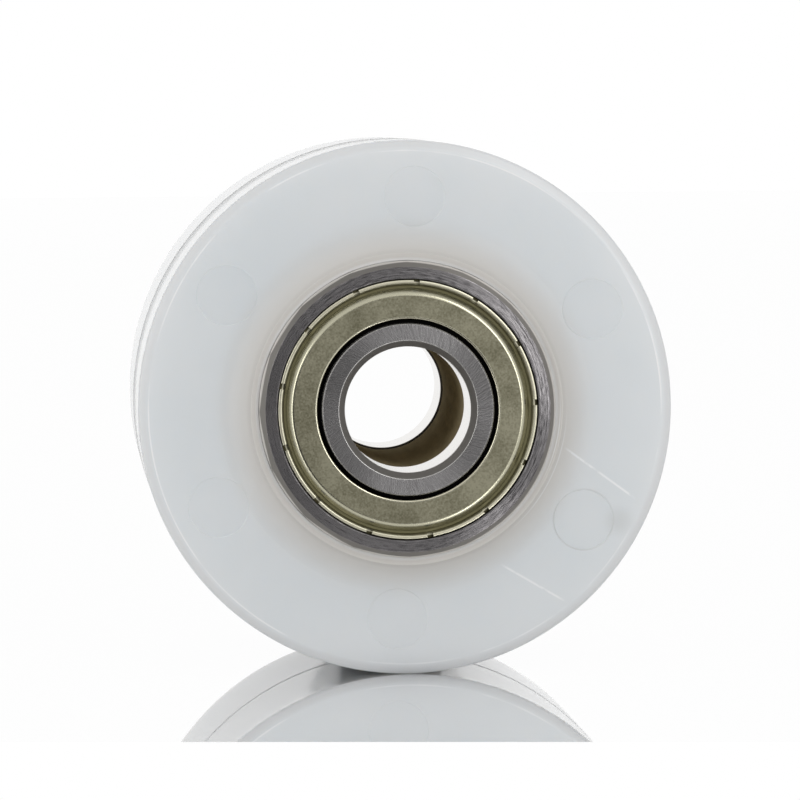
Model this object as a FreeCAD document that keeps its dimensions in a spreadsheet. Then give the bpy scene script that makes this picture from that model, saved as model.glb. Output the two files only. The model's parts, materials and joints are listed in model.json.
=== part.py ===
import FreeCAD, Part
import math
import os
import re

import Sketcher

# Trolley wheel: a moulded nylon roller on two shielded ball bearings with a spacer sleeve between them.
# The wheel turns about Y, its centre is the origin, and the side that carries the pin marks faces -Y.

# Driving sizes in millimetres, with counts and angles in degrees as plain numbers.
SIZES = {
    # Nylon wheel
    "tread_diameter": 85.0,
    "tread_width": 60.0,
    "tread_draft": 0.2,
    "tread_edge_round": 2.0,
    "parting_ridge_height": 0.12,
    "parting_ridge_width": 0.5,
    "boss_height": 3.0,
    "boss_wall": 1.3,
    "boss_flare": 5.2,
    "seat_shoulder_width": 2.4,
    "seat_clearance": 0.02,
    # Pin marks that the mould leaves on one face
    "pin_mark_diameter": 9.7,
    "pin_mark_circle": 67.4,
    "pin_mark_depth": 0.12,
    "pin_mark_count": 6,
    "pin_mark_turn": 27.0,
    # Ball bearing rings
    "axle_bore": 20.0,
    "bearing_diameter": 47.0,
    "bearing_width": 14.0,
    "bearing_proud": 2.0,
    "bore_chamfer": 1.0,
    "ring_chamfer": 0.9,
    "ring_edge_break": 0.2,
    "ball_diameter": 7.938,
    "ball_count": 8,
    "race_clearance": 0.06,
    "race_conformity": 1.04,
    "shoulder_reach": 2.4,
    "land_step": 0.7,
    "land_step_depth": 1.5,
    "outer_face_width": 2.8,
    # Shields
    "shield_sheet": 0.35,
    "shield_web_depth": 0.65,
    "shield_channel_depth": 1.35,
    "shield_channel_width": 1.0,
    "shield_step_run": 0.4,
    "shield_rim_width": 0.95,
    "shield_rim_depth": 0.35,
    "shield_rim_top": 0.3,
    "shield_ledge_depth": 2.1,
    "snap_groove_height": 0.6,
    "snap_groove_depth": 0.4,
    "shield_clearance": 0.04,
    "notch_width": 0.95,
    "notch_count": 13,
    "front_shield_turn": 11.45,
    # Riveted ribbon cage
    "cage_sheet": 0.6,
    "cage_band": 3.1,
    "cage_clearance": 0.12,
    "rivet_diameter": 1.1,
    "rivet_clearance": 0.02,
    "rivet_head_diameter": 1.9,
    "rivet_head_height": 0.45,
    # Spacer sleeve between the inner rings
    "spacer_wall": 2.6,
    "spacer_bore_relief": 0.3,
}

# Radii and levels that follow from the sizes, written with the names in the sheet.
HALF_WIDTH = "tread_width / 2"
HUB_END = "(tread_width / 2 + boss_height + bearing_proud)"
LIP_LEVEL = "(tread_width / 2 + boss_height)"
SEAT_FLOOR = "(" + HUB_END + " - bearing_width)"
SEAT_RADIUS = "(bearing_diameter / 2 + seat_clearance)"
BOSS_TOP = "(" + SEAT_RADIUS + " + boss_wall)"
TREAD_MIDDLE = "tread_diameter / 2"
TREAD_END = "(tread_diameter / 2 - tread_draft)"
BEARING_CENTRE = "(" + HUB_END + " - bearing_width / 2)"

FACE = "bearing_width / 2"
PITCH = "((axle_bore + bearing_diameter) / 4)"
RACE_RADIUS = "(race_conformity * ball_diameter / 2)"
INNER_SHOULDER = "(" + PITCH + " - shoulder_reach)"
OUTER_SHOULDER = "(" + PITCH + " + shoulder_reach)"
LAND_RADIUS = "(" + INNER_SHOULDER + " - land_step)"
RACE_OFFSET = "(" + RACE_RADIUS + " - ball_diameter / 2 - race_clearance)"
RACE_MOUTH = "sqrt(" + RACE_RADIUS + "^2 - (shoulder_reach + " + RACE_OFFSET + ")^2)"
SHIELD_SEAT = "(bearing_diameter / 2 - outer_face_width)"
LEDGE = "(" + FACE + " - shield_ledge_depth)"
SNAP_TOP = "(" + LEDGE + " + snap_groove_height)"


def open_document():
    """Document with the sheet that holds every driving size."""
    document = FreeCAD.newDocument("trolley_wheel")
    sheet = document.addObject("Spreadsheet::Sheet", "Sizes")
    for row, (name, size) in enumerate(SIZES.items(), start=1):
        sheet.set(f"A{row}", name)
        sheet.set(f"B{row}", str(size))
        sheet.setAlias(f"B{row}", name)
    document.recompute()
    return document


def number(document, formula):
    """Value of a formula in the sheet's names."""
    return float(document.Sizes.evalExpression(formula))


def count(document, name):
    """Whole number of copies that the sheet asks for."""
    return int(round(number(document, name)))


def bound(formula):
    """The formula with each size name pointed at the sheet."""
    return re.sub(r"\b([a-z]+_\w+)\b", r"Sizes.\1", formula)


def origin_part(body, role):
    """Plane or axis of the body's own origin."""
    return next(item for item in body.Origin.OriginFeatures if item.Role == role)


def arc_between(start, end, radius, side):
    """Short arc from start to end; side 1 keeps its centre to the left of the way, -1 to the right."""
    chord = end - start
    middle = (start + end) / 2
    across = FreeCAD.Vector(-chord.y, chord.x, 0).normalize()
    reach = math.sqrt(max(radius ** 2 - (chord.Length / 2) ** 2, 0.0))
    centre = middle + across * (side * reach)
    first, last = (start, end) if side > 0 else (end, start)
    angles = [math.atan2(point.y - centre.y, point.x - centre.x) for point in (first, last)]
    return Part.ArcOfCircle(Part.Circle(centre, FreeCAD.Vector(0, 0, 1), radius), *angles)


def new_sketch(body, name, plane):
    """Empty sketch on one of the body's origin planes."""
    sketch = body.newObject("Sketcher::SketchObject", name)
    sketch.AttachmentSupport = (origin_part(body, plane), [""])
    sketch.MapMode = "FlatFace"
    return sketch


def tie(sketch, constraint, formula):
    """Add a sized constraint and bind it to the sheet."""
    index = sketch.addConstraint(constraint)
    sketch.setExpression(f"Constraints[{index}]", bound(formula))


def tie_point(sketch, edge, end, across, along):
    """Hold one end of an edge at a distance across and along from the sketch's origin."""
    document = sketch.Document
    for kind, formula in (("DistanceX", across), ("DistanceY", along)):
        tie(sketch, Sketcher.Constraint(kind, -1, 1, edge, end, number(document, formula)), formula)


def add_outline(sketch, corners):
    """Closed outline of corners (across, along); a corner with a radius and a side starts an arc."""
    document = sketch.Document
    points = [FreeCAD.Vector(number(document, c[0]), number(document, c[1]), 0) for c in corners]
    edges = []
    for index, corner in enumerate(corners):
        start, end = points[index], points[(index + 1) % len(points)]
        if len(corner) == 2:
            edges.append((sketch.addGeometry(Part.LineSegment(start, end)), 1, 2))
            continue
        arc = arc_between(start, end, number(document, corner[2]), corner[3])
        ends = (1, 2) if corner[3] > 0 else (2, 1)
        edges.append((sketch.addGeometry(arc), *ends))
    for index, (edge, head, tail) in enumerate(edges):
        following, following_head, _ = edges[(index + 1) % len(edges)]
        sketch.addConstraint(Sketcher.Constraint("Coincident", edge, tail, following, following_head))
        tie_point(sketch, edge, head, corners[index][0], corners[index][1])
        if len(corners[index]) > 2:
            radius = corners[index][2]
            tie(sketch, Sketcher.Constraint("Radius", edge, number(document, radius)), radius)


def add_circle(sketch, reach, turn, radius):
    """Circle at a distance and an angle from the sketch's origin."""
    document = sketch.Document
    across = f"{reach} * cos(({turn}) * 1 deg)"
    along = f"{reach} * sin(({turn}) * 1 deg)"
    centre = FreeCAD.Vector(number(document, across), number(document, along), 0)
    circle = Part.Circle(centre, FreeCAD.Vector(0, 0, 1), number(document, radius))
    edge = sketch.addGeometry(circle)
    tie_point(sketch, edge, 3, across, along)
    tie(sketch, Sketcher.Constraint("Radius", edge, number(document, radius)), radius)


def mirrored_outline(upper):
    """Outline that is the same on both sides of the middle plane, from its upper half."""
    lower = [(corner[0], "-(" + corner[1] + ")") for corner in reversed(upper)]
    for index, corner in enumerate(upper[:-1]):
        if len(corner) > 2:
            place = len(upper) - 2 - index
            lower[place] = lower[place] + corner[2:]
    return upper + lower


def turned(body, name, outlines, kind="Revolution", axis="V_Axis"):
    """Solid or cut that is turned from one or more outlines about the Y axis."""
    sketch = new_sketch(body, name + "_profile", "XY_Plane")
    for outline in outlines:
        add_outline(sketch, outline)
    feature = body.newObject("PartDesign::" + kind, name)
    feature.Profile = sketch
    feature.ReferenceAxis = (sketch, [axis])
    feature.Angle = 360
    return feature


def patterned(body, name, originals, copies):
    """Copies of features spread evenly about the Y axis."""
    pattern = body.newObject("PartDesign::PolarPattern", name)
    pattern.Originals = originals
    pattern.Axis = (origin_part(body, "Y_Axis"), [""])
    pattern.Angle = 360
    pattern.setExpression("Occurrences", bound(copies))
    body.Tip = pattern
    return pattern


def new_body(document, label):
    """Body whose label names its file."""
    body = document.addObject("PartDesign::Body", label)
    body.Label = label
    return body


def place(piece, side, faces_out=True, turn=0.0):
    """Seat a bearing piece at the front (-1) or rear (1), its upper side out of the wheel or into it."""
    upright, axle = FreeCAD.Vector(0, 0, 1), FreeCAD.Vector(0, 1, 0)
    half_turn = 180 if (side < 0) == faces_out else 0
    rotation = FreeCAD.Rotation(axle, turn).multiply(FreeCAD.Rotation(upright, half_turn))
    piece.Placement = FreeCAD.Placement(FreeCAD.Vector(0, 0, 0), rotation)
    piece.setExpression("Placement.Base.y", bound(f"{side} * {BEARING_CENTRE}"))


def make_wheel_body(document):
    """Nylon wheel: drafted tread, rounded edges, flared hub bosses and a shouldered seat each side."""
    body = new_body(document, "wheel_body")
    bore = f"({SEAT_RADIUS} - seat_shoulder_width)"
    flare = "((boss_flare^2 + boss_height^2) / (2 * boss_height))"
    upper = [
        (bore, SEAT_FLOOR),
        (SEAT_RADIUS, SEAT_FLOOR),
        (SEAT_RADIUS, LIP_LEVEL),
        (BOSS_TOP, LIP_LEVEL, flare, 1),
        (f"{BOSS_TOP} + boss_flare", HALF_WIDTH),
        (f"{TREAD_END} - tread_edge_round", HALF_WIDTH, "tread_edge_round", -1),
        (TREAD_END, f"{HALF_WIDTH} - tread_edge_round"),
        (TREAD_MIDDLE, "parting_ridge_width / 2"),
        (f"{TREAD_MIDDLE} + parting_ridge_height", "parting_ridge_width / 4"),
    ]
    turned(body, "wheel_solid", [mirrored_outline(upper)])
    marks = new_sketch(body, "pin_mark_circle_sketch", "XZ_Plane")
    marks.setExpression("AttachmentOffset.Base.z", bound(LIP_LEVEL))
    add_circle(marks, "pin_mark_circle / 2", "pin_mark_turn", "pin_mark_diameter / 2")
    mark = body.newObject("PartDesign::Pocket", "pin_mark")
    mark.Profile = marks
    mark.setExpression("Length", bound("boss_height + pin_mark_depth"))
    patterned(body, "pin_marks", [mark], "pin_mark_count")
    return [body]


def make_spacer(document):
    """Steel sleeve that fills the length between the two inner rings."""
    body = new_body(document, "spacer_sleeve")
    inner = "(axle_bore / 2 + spacer_bore_relief)"
    outline = mirrored_outline([(inner, SEAT_FLOOR), (f"{inner} + spacer_wall", SEAT_FLOOR)])
    turned(body, "sleeve", [outline])
    return [body]


def make_inner_ring(document, end, side):
    """Inner ring: chamfered bore, stepped land that clears the shield, and the ball race."""
    body = new_body(document, f"{end}_inner_ring")
    step = f"({FACE} - land_step_depth)"
    upper = [
        ("axle_bore / 2", f"{FACE} - bore_chamfer"),
        ("axle_bore / 2 + bore_chamfer", FACE),
        (f"{LAND_RADIUS} - ring_edge_break", FACE),
        (LAND_RADIUS, f"{FACE} - ring_edge_break"),
        (LAND_RADIUS, step),
        (INNER_SHOULDER, step),
        (INNER_SHOULDER, RACE_MOUTH, RACE_RADIUS, 1),
    ]
    turned(body, "ring", [ring_outline(upper)])
    place(body, side)
    return [body]


def ring_outline(upper):
    """Ring outline from its upper half, whose last corner starts the race's arc across the middle."""
    arc = upper[-1][2:]
    plain = upper[:-1] + [upper[-1][:2]]
    outline = mirrored_outline(plain)
    outline[len(upper) - 1] = outline[len(upper) - 1] + arc
    return outline


def make_outer_ring(document, end, side):
    """Outer ring: chamfered corners, a snap seat for each shield and the ball race."""
    body = new_body(document, f"{end}_outer_ring")
    outside = "bearing_diameter / 2"
    groove = f"({SHIELD_SEAT} + snap_groove_depth)"
    upper = [
        (outside, f"{FACE} - ring_chamfer"),
        (f"{outside} - ring_chamfer", FACE),
        (f"{SHIELD_SEAT} + ring_edge_break", FACE),
        (SHIELD_SEAT, f"{FACE} - ring_edge_break"),
        (SHIELD_SEAT, SNAP_TOP),
        (groove, SNAP_TOP),
        (groove, LEDGE),
        (OUTER_SHOULDER, LEDGE),
        (OUTER_SHOULDER, RACE_MOUTH, RACE_RADIUS, -1),
    ]
    turned(body, "ring", [ring_outline(upper)])
    place(body, side)
    return [body]


def make_shield(document, end, side, faces_out):
    """Pressed shield: flat web, channel and a crimped rim with notches, snapped into the outer ring."""
    where = "outer" if faces_out else "inner"
    body = new_body(document, f"{end}_{where}_shield")
    web = f"({FACE} - shield_web_depth)"
    channel = f"({FACE} - shield_channel_depth)"
    crest = f"({FACE} - shield_rim_depth)"
    rim = f"({SHIELD_SEAT} - shield_clearance)"
    rim_foot = f"({SHIELD_SEAT} - shield_rim_width)"
    channel_foot = f"({rim_foot} - shield_channel_width)"
    web_edge = f"({channel_foot} - shield_step_run)"
    hook = f"({SHIELD_SEAT} + snap_groove_depth - shield_clearance)"
    hook_top = f"({SNAP_TOP} - shield_clearance)"
    lean = "shield_sheet / 2"
    outline = [
        (INNER_SHOULDER, web),
        (web_edge, web),
        (channel_foot, channel),
        (rim_foot, channel),
        (f"{rim} - shield_rim_top", crest),
        (rim, crest),
        (rim, hook_top),
        (hook, hook_top),
        (hook, LEDGE),
        (f"{rim_foot} + {lean}", LEDGE),
        (f"{rim_foot} + {lean}", f"{channel} - shield_sheet"),
        (f"{channel_foot} - {lean}", f"{channel} - shield_sheet"),
        (f"{web_edge} - {lean}", f"{web} - shield_sheet"),
        (INNER_SHOULDER, f"{web} - shield_sheet"),
    ]
    turned(body, "pressing", [outline])
    notch_root = f"({rim_foot} + {lean})"
    notch_end = f"({SHIELD_SEAT} + outer_face_width)"
    sketch = new_sketch(body, "notch_sketch", "XY_Plane")
    add_outline(sketch, [(notch_root, channel), (notch_end, channel), (notch_end, FACE), (notch_root, FACE)])
    notch = body.newObject("PartDesign::Pocket", "notch")
    notch.Profile = sketch
    notch.SideType = "Symmetric"
    notch.setExpression("Length", bound("notch_width"))
    patterned(body, "notches", [notch], "notch_count")
    on_show = faces_out and side < 0
    place(body, side, faces_out, number(document, "front_shield_turn") if on_show else 0.0)
    return [body]


def make_cage_half(document, end, side, faces_out):
    """Half of the ribbon cage: a flat band with a dome over each ball and a rivet hole between domes."""
    where = "outer" if faces_out else "inner"
    body = new_body(document, f"{end}_cage_{where}_half")
    inside, outside = f"({PITCH} - cage_band / 2)", f"({PITCH} + cage_band / 2)"
    hollow = "(ball_diameter / 2 + cage_clearance)"
    dome = f"({hollow} + cage_sheet)"
    turned(body, "band", [[(inside, "0"), (outside, "0"), (outside, "cage_sheet"), (inside, "cage_sheet")]])
    domes = dome_feature(body, "dome", "Revolution", dome)
    patterned(body, "domes", [domes], "ball_count")
    pockets = dome_feature(body, "pocket", "Groove", hollow)
    patterned(body, "pockets", [pockets], "ball_count")
    beyond = f"({PITCH} + {dome} + cage_band)"
    within = f"({PITCH} - {dome} - cage_sheet)"
    above = f"({dome} + cage_sheet)"
    trim = [[(outside, "-cage_sheet"), (beyond, "-cage_sheet"), (beyond, above), (outside, above)],
            [(within, "-cage_sheet"), (inside, "-cage_sheet"), (inside, above), (within, above)]]
    turned(body, "band_trim", trim, "Groove")
    sketch = new_sketch(body, "rivet_hole_sketch", "XZ_Plane")
    add_circle(sketch, PITCH, "180 / ball_count", "rivet_diameter / 2 + rivet_clearance")
    hole = body.newObject("PartDesign::Pocket", "rivet_hole")
    hole.Profile = sketch
    hole.SideType = "Symmetric"
    hole.setExpression("Length", bound("4 * cage_sheet"))
    patterned(body, "rivet_holes", [hole], "ball_count")
    place(body, side, faces_out)
    return [body]


def dome_feature(body, name, kind, radius):
    """Half ball, solid or cut, over the first ball's place."""
    sketch = new_sketch(body, name + "_profile", "XY_Plane")
    add_outline(sketch, [(PITCH, "0"), (f"{PITCH} + {radius}", "0", radius, 1), (PITCH, radius)])
    feature = body.newObject("PartDesign::" + kind, name)
    feature.Profile = sketch
    feature.ReferenceAxis = (sketch, ["Edge3"])
    feature.Angle = 360
    return feature


def make_rivets(document, end, side):
    """Rivets that close the two cage halves, a head on each face."""
    rivets = []
    for index in range(count(document, "ball_count")):
        turn = f"(({index} + 0.5) * 360 / ball_count * 1 deg)"
        lengths = (("shank", "rivet_diameter / 2", "-cage_sheet", "2 * cage_sheet"),
                   ("upper_head", "rivet_head_diameter / 2", "cage_sheet", "rivet_head_height"),
                   ("lower_head", "rivet_head_diameter / 2", "-cage_sheet - rivet_head_height",
                    "rivet_head_height"))
        pieces = []
        for name, radius, level, height in lengths:
            piece = document.addObject("Part::Cylinder", f"{end}_rivet_{name}")
            piece.Placement = FreeCAD.Placement(FreeCAD.Vector(0, 0, 0),
                                                FreeCAD.Rotation(FreeCAD.Vector(1, 0, 0), -90))
            piece.setExpression("Radius", bound(radius))
            piece.setExpression("Height", bound(height))
            piece.setExpression("Placement.Base.x", bound(f"{PITCH} * cos({turn})"))
            piece.setExpression("Placement.Base.y", bound(level))
            piece.setExpression("Placement.Base.z", bound(f"{PITCH} * sin({turn})"))
            pieces.append(piece)
        rivet = document.addObject("Part::MultiFuse", f"{end}_rivet")
        rivet.Shapes = pieces
        rivet.Refine = True
        rivets.append(rivet)
    group = document.addObject("Part::Compound", f"{end}_cage_rivets")
    group.Label = f"{end}_cage_rivets"
    group.Links = rivets
    place(group, side)
    return [group]


def make_balls(document, end, side):
    """Steel balls, evenly spread on the pitch circle."""
    balls = []
    for index in range(count(document, "ball_count")):
        ball = document.addObject("Part::Sphere", f"{end}_ball_{index + 1}")
        ball.Label = f"{end}_ball_{index + 1}"
        turn = f"({index} * 360 / ball_count * 1 deg)"
        ball.setExpression("Radius", bound("ball_diameter / 2"))
        ball.setExpression("Placement.Base.x", bound(f"{PITCH} * cos({turn})"))
        ball.setExpression("Placement.Base.y", bound(f"{side} * {BEARING_CENTRE}"))
        ball.setExpression("Placement.Base.z", bound(f"{PITCH} * sin({turn})"))
        balls.append(ball)
    return balls


def make_bearing(document, end, side):
    """All the pieces of one bearing."""
    pieces = make_outer_ring(document, end, side) + make_inner_ring(document, end, side)
    for faces_out in (True, False):
        pieces += make_shield(document, end, side, faces_out)
        pieces += make_cage_half(document, end, side, faces_out)
    return pieces + make_rivets(document, end, side) + make_balls(document, end, side)


def check(document, pieces):
    """Stop if any object failed or any piece has no sound shape."""
    failed = [item.Label for item in document.Objects if {"Invalid", "Error"} & set(item.State)]
    unsound = [piece.Label for piece in pieces if piece.Shape.isNull() or not piece.Shape.isValid()]
    if failed or unsound:
        raise RuntimeError(f"failed objects {failed}, unsound shapes {unsound}")


def main():
    document = open_document()
    pieces = make_wheel_body(document) + make_spacer(document)
    for end, side in (("front", -1), ("rear", 1)):
        pieces += make_bearing(document, end, side)
    document.recompute()
    check(document, pieces)
    os.makedirs("parts", exist_ok=True)
    for piece in pieces:
        piece.Shape.exportStep(os.path.join("parts", piece.Label + ".step"))


main()
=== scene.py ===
"""Looks of a nylon trolley wheel on two shielded ball bearings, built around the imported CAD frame."""

import json
import math
import random

import bmesh
import bpy
from bpy.props import FloatProperty, FloatVectorProperty, IntProperty, PointerProperty
from mathutils import Matrix, Quaternion, Vector


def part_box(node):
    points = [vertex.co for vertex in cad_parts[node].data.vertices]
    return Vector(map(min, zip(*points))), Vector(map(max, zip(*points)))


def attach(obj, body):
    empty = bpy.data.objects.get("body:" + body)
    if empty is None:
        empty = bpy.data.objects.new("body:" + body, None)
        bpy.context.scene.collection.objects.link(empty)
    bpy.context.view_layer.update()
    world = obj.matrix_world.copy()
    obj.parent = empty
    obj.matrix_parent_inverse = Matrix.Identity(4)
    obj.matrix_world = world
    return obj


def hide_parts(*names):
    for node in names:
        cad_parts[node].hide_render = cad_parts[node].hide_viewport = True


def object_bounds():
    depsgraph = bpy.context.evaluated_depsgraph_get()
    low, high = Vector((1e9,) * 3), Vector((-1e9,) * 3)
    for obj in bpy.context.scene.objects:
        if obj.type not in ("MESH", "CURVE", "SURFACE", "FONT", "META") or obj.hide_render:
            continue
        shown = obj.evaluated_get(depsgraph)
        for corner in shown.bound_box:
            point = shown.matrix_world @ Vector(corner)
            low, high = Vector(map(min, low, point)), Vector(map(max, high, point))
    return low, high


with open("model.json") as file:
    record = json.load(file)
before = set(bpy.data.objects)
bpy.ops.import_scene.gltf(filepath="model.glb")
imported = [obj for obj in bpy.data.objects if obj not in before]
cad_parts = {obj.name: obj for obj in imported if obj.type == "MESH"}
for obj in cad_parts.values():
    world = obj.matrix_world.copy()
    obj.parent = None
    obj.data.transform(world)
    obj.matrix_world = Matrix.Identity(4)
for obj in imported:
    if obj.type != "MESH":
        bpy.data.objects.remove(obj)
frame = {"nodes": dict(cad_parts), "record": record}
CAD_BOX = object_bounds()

bl_info = {
    "name": "Trolley Wheel",
    "version": (1, 0, 0),
    "blender": (4, 5, 0),
    "location": "View3D > Sidebar > Trolley Wheel",
    "description": "Finishes a moulded nylon trolley wheel with two shielded ball bearings",
    "category": "Object",
}

MM = 0.001
ENDS = {"front": -1, "rear": 1}

# Boxes of the CAD pieces, from which the main sizes are read
WHEEL_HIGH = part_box("wheel_body")[1]
RING_LOW, RING_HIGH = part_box("rear_outer_ring")
INNER_RING_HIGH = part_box("rear_inner_ring")[1]
SPACER_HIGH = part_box("spacer_sleeve")[1]
RING_MIDDLE = (RING_HIGH.y + RING_LOW.y) / 2
RING_HALF = (RING_HIGH.y - RING_LOW.y) / 2
AXLE_BORE = next(mount for mount in frame["record"]["mounts"] if mount["name"] == "axle_bore")
BORE = AXLE_BORE["dims"]["r_mm"] * MM

# Fineness of the meshes
WHEEL_SEGMENTS = 240
RING_SEGMENTS = 192
SLEEVE_SEGMENTS = 128
MARK_SEGMENTS = 64
SECTOR_STEPS = 8
RACE_STEPS = 16
ARC_STEP = math.radians(14)
LONG_FLAT = 1.0 * MM
FLAT_END = 0.04 * MM
SWEEP_RADIUS = 10.0 * MM
WELD = 0.001 * MM
SHARP_ANGLE = math.radians(32)

# Rough edge that pressing a bearing in leaves on the lip
LIP_BEVEL = 0.3 * MM
LIP_REACH = 0.5 * MM
LIP_RAGGED = 0.03 * MM
LIP_SEED = 7


# Properties that a user would change


def linear(code):
    """Linear colour with full alpha from an sRGB hex code."""
    shares = [int(code[place:place + 2], 16) / 255 for place in (0, 2, 4)]
    return [c / 12.92 if c <= 0.04045 else ((c + 0.055) / 1.055) ** 2.4 for c in shares] + [1.0]


def length(name, description, default):
    """Length in metres."""
    return FloatProperty(name=name, description=description, default=default, min=0.0,
                         precision=5, unit="LENGTH", subtype="DISTANCE")


def angle(name, description, degrees):
    """Angle, given here in degrees."""
    return FloatProperty(name=name, description=description, default=math.radians(degrees),
                         unit="ROTATION", subtype="ANGLE")


def colour(name, description, code):
    """Colour, given here as an sRGB hex code."""
    return FloatVectorProperty(name=name, description=description, default=linear(code),
                               size=4, min=0.0, max=1.0, subtype="COLOR")


class NylonSizes(bpy.types.PropertyGroup):
    """Sizes of the moulded nylon wheel."""
    ridge_height: length("Ridge height", "Height of the mould's parting ridge round the tread", 0.04 * MM)
    ridge_width: length("Ridge width", "Width of the parting ridge at its foot", 0.5 * MM)
    tread_draft: length("Tread draft", "Fall of the tread's radius from the middle to each face", 0.02 * MM)
    edge_width: length("Edge width", "Width of the sloped edge between each face and the tread", 1.45 * MM)
    edge_drop: length("Edge drop", "Fall of the sloped edge", 0.35 * MM)
    boss_height: length("Boss height", "Height of the hub boss above the face", 3.0 * MM)
    boss_wall: length("Boss wall", "Width of the lip round the bearing", 1.3 * MM)
    boss_flare: length("Boss flare", "Run of the hollow slope from the lip to the face", 5.2 * MM)
    seat_clearance: length("Seat clearance", "Gap between the bearing and its seat", 0.02 * MM)
    seat_shoulder: length("Seat shoulder", "Width of the shoulder that the bearing stands on", 2.4 * MM)
    lip_sides: IntProperty(name="Lip sides", description="Flats that the press tool leaves round the lip",
                           default=16, min=3)
    lip_ripple: length("Lip ripple", "How far the lip's corners stand back from the bearing", 0.06 * MM)
    mark_diameter: length("Pin mark diameter", "Diameter of an ejector pin mark", 9.7 * MM)
    mark_circle: length("Pin mark circle", "Diameter of the circle of pin marks", 67.4 * MM)
    mark_depth: length("Pin mark depth", "Depth of an ejector pin mark", 0.12 * MM)
    mark_wall: length("Pin mark wall", "Run of the sloped wall of a pin mark", 0.14 * MM)
    mark_count: IntProperty(name="Pin marks", description="Number of ejector pin marks", default=6, min=1)
    mark_turn: angle("Pin mark turn", "Angle of the first pin mark", 27.0)


class BearingSizes(bpy.types.PropertyGroup):
    """Sizes of the bearing rings, the shields and the spacer sleeve."""
    bore_chamfer: length("Bore chamfer", "Chamfer at the ends of the bore", 1.0 * MM)
    ring_chamfer: length("Ring chamfer", "Chamfer on the outer ring's outside", 0.9 * MM)
    face_fall: length("Face fall", "Fall of the outer ring's face towards its outside", 0.12 * MM)
    burr_reach: length("Burr reach", "How far shaved nylon reaches over the outer ring's edge", 0.26 * MM)
    edge_break: length("Edge break", "Small chamfer on the rings' inner edges", 0.2 * MM)
    ball_diameter: length("Ball diameter", "Diameter of the balls", 7.938 * MM)
    race_clearance: length("Race clearance", "Gap between a ball and its race", 0.06 * MM)
    race_conformity: FloatProperty(name="Race conformity", description="Race radius over ball radius",
                                   default=1.04, min=1.0)
    land_step: length("Land step", "Step down from the inner ring's shoulder to its land", 0.7 * MM)
    land_depth: length("Land depth", "Length of the inner ring's stepped land", 1.5 * MM)
    outer_face: length("Outer face", "Width of the outer ring's face", 2.8 * MM)
    ledge_depth: length("Ledge depth", "Depth of the ledge that the shield rests on", 2.1 * MM)
    groove_height: length("Groove height", "Height of the shield's snap groove", 0.6 * MM)
    groove_depth: length("Groove depth", "Depth of the shield's snap groove", 0.4 * MM)
    sheet: length("Shield sheet", "Thickness of the shield's sheet", 0.35 * MM)
    web_depth: length("Web depth", "Depth of the shield's flat web below the ring's face", 0.65 * MM)
    channel_depth: length("Channel depth", "Depth of the shield's channel below the ring's face", 1.35 * MM)
    channel_width: length("Channel width", "Width of the channel's floor", 0.4 * MM)
    step_run: length("Step run", "Run of the roll from the web into the channel", 0.9 * MM)
    rim_width: length("Rim width", "Width of the crimped rim", 1.05 * MM)
    rim_depth: length("Rim depth", "Depth of the rim's crest below the ring's face", 0.35 * MM)
    rim_top: length("Rim top", "Width of the rim's crest", 0.75 * MM)
    shield_clearance: length("Shield clearance", "Gap between the shield and the ring", 0.04 * MM)
    notch_width: length("Notch width", "Width of a notch in the shield's rim", 0.95 * MM)
    notch_pinch: length("Notch pinch", "Rise of the channel where a notch is punched", 0.18 * MM)
    notch_count: IntProperty(name="Notches", description="Number of notches in the rim", default=13, min=3)
    shield_turn: angle("Shield turn", "Turn of the front shield about the axle", 11.45)
    spacer_relief: length("Spacer relief", "Gap between the axle and the spacer sleeve", 0.3 * MM)


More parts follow.
